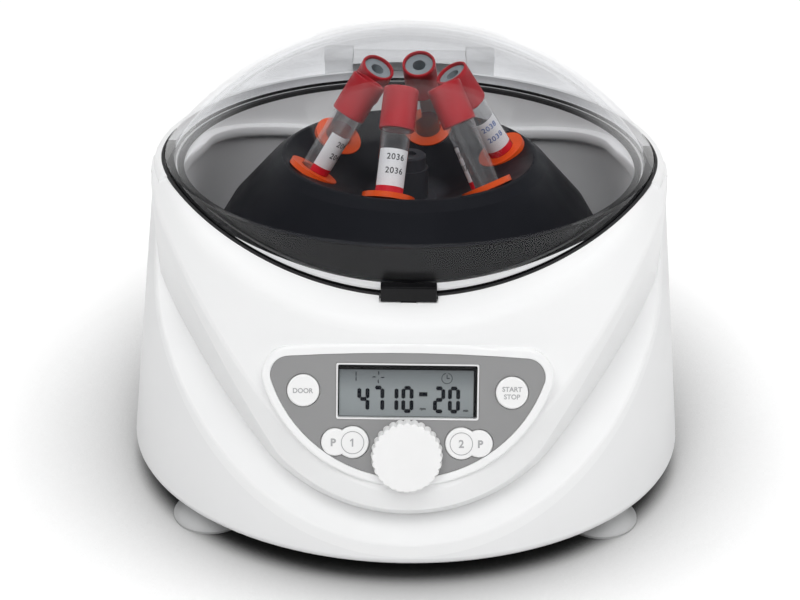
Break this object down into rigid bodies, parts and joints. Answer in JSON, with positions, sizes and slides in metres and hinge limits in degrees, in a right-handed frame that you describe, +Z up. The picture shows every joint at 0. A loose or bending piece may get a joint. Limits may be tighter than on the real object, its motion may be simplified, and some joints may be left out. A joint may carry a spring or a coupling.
{
  "type": "centrifuge",
  "caption": "Bench centrifuge with a hinged clear dome lid, angled-tube rotor and a sloping display and key panel.",
  "frame": {"origin": "on the bench under the rotor axis, at the middle of the footprint", "axes": "+Z up along the rotor axis, -Y towards the key panel, +X to the right seen from the front"},
  "size_m": [0.2555, 0.3157, 0.1887],
  "materials": {
    "white_cover": "satin moulded plastic",
    "lower_shell": "satin moulded plastic",
    "clear_dome": "clear smoked moulding, polished",
    "black_trim": "gloss black moulding",
    "black_rubber": "soft seal rubber",
    "bowl_lining": "smooth pale grey lining",
    "rotor_black": "satin black",
    "adapter_orange": "satin",
    "tube_clear": "clear",
    "cap_red": "soft gloss",
    "stopper_grey": "matt",
    "grey_panel": "printed film, fine texture",
    "silver_trim": "satin silver",
    "display_glass": "clear window",
    "display_grey": "display panel",
    "key_white": "satin",
    "circuit_board": "solder mask",
    "steel": "bright zinc",
    "foot_rubber": "translucent soft rubber",
    "black_plastic": "fine moulded texture"
  },
  "bodies": {
    "base": {"side_shell": "lower_shell", "top_cover": "white_cover", "base_pan": "lower_shell", "hinge_pin": "steel", "latch_solenoid": "steel", "chamber_bowl": "bowl_lining", "chamber_gasket": "black_rubber", "panel_overlay": "grey_panel", "display_bezel": "silver_trim", "display_window": "display_glass", "display_module": "display_grey", "encoder": "steel", "control_board": "circuit_board", "board_screws": "steel", "base_screws": "steel", "feet": "foot_rubber", "foot_screws": "steel", "rubber_mounts": "black_rubber", "motor_plate": "steel", "motor": "steel", "power_inlet": "black_plastic", "power_switch": "black_plastic", "power_board": "circuit_board"},
    "lid": {"lid_dome": "clear_dome", "lid_trim": "black_trim", "lid_seal_ring": "black_trim", "lid_hinge_block": "white_cover", "latch_tab": "black_trim"},
    "rotor": {"rotor": "rotor_black", "rotor_nut": "rotor_black", "motor_shaft": "steel", "tube_stoppers": "stopper_grey", "tube_adapter_1": "adapter_orange", "sample_tube_1": "tube_clear", "tube_cap_1": "cap_red", "tube_adapter_2": "adapter_orange", "sample_tube_2": "tube_clear", "tube_cap_2": "cap_red", "tube_adapter_3": "adapter_orange", "sample_tube_3": "tube_clear", "tube_cap_3": "cap_red", "tube_adapter_4": "adapter_orange", "sample_tube_4": "tube_clear", "tube_cap_4": "cap_red", "tube_adapter_5": "adapter_orange", "sample_tube_5": "tube_clear", "tube_cap_5": "cap_red", "tube_adapter_6": "adapter_orange", "sample_tube_6": "tube_clear", "tube_cap_6": "cap_red"},
    "latch_plunger": {"latch_plunger": "steel"},
    "door_button": {"door_button": "key_white"},
    "start_stop_button": {"start_stop_button": "key_white"},
    "program_1_button": {"program_1_button": "key_white"},
    "program_2_button": {"program_2_button": "key_white"},
    "speed_knob": {"speed_knob": "key_white", "knob_shaft": "steel"},
    "switch_rocker": {"switch_rocker": "black_plastic"}
  },
  "joints": [
    {"name": "lid_hinge", "type": "hinge", "parent": "base", "child": "lid", "pos_m": [0, 0.124, 0.137], "axis": [-1, 0, 0], "range_deg": [0, 80]},
    {"name": "rotor_spin", "type": "hinge", "parent": "base", "child": "rotor", "pos_m": [0, 0, 0.1], "axis": [0, 0, 1], "continuous": true},
    {"name": "latch_slide", "type": "slide", "parent": "base", "child": "latch_plunger", "axis": [-1, 0, 0], "range_m": [0, 0.008], "stiffness_N_per_m": 60},
    {"name": "door_button_press", "type": "slide", "parent": "base", "child": "door_button", "axis": [0, 0.9272, -0.3746], "range_m": [0, 0.0008], "stiffness_N_per_m": 400},
    {"name": "start_stop_button_press", "type": "slide", "parent": "base", "child": "start_stop_button", "axis": [0, 0.9272, -0.3746], "range_m": [0, 0.0008], "stiffness_N_per_m": 400},
    {"name": "program_1_button_press", "type": "slide", "parent": "base", "child": "program_1_button", "axis": [0, 0.9272, -0.3746], "range_m": [0, 0.0008], "stiffness_N_per_m": 400},
    {"name": "program_2_button_press", "type": "slide", "parent": "base", "child": "program_2_button", "axis": [0, 0.9272, -0.3746], "range_m": [0, 0.0008], "stiffness_N_per_m": 400},
    {"name": "knob_turn", "type": "hinge", "parent": "base", "child": "speed_knob", "pos_m": [0, -0.14385, 0.05794], "axis": [0, -0.9272, 0.3746], "continuous": true},
    {"name": "rocker_tilt", "type": "hinge", "parent": "base", "child": "switch_rocker", "pos_m": [-0.019, 0.145, 0.033], "axis": [0, 0, 1], "range_deg": [0, 20]}
  ]
}
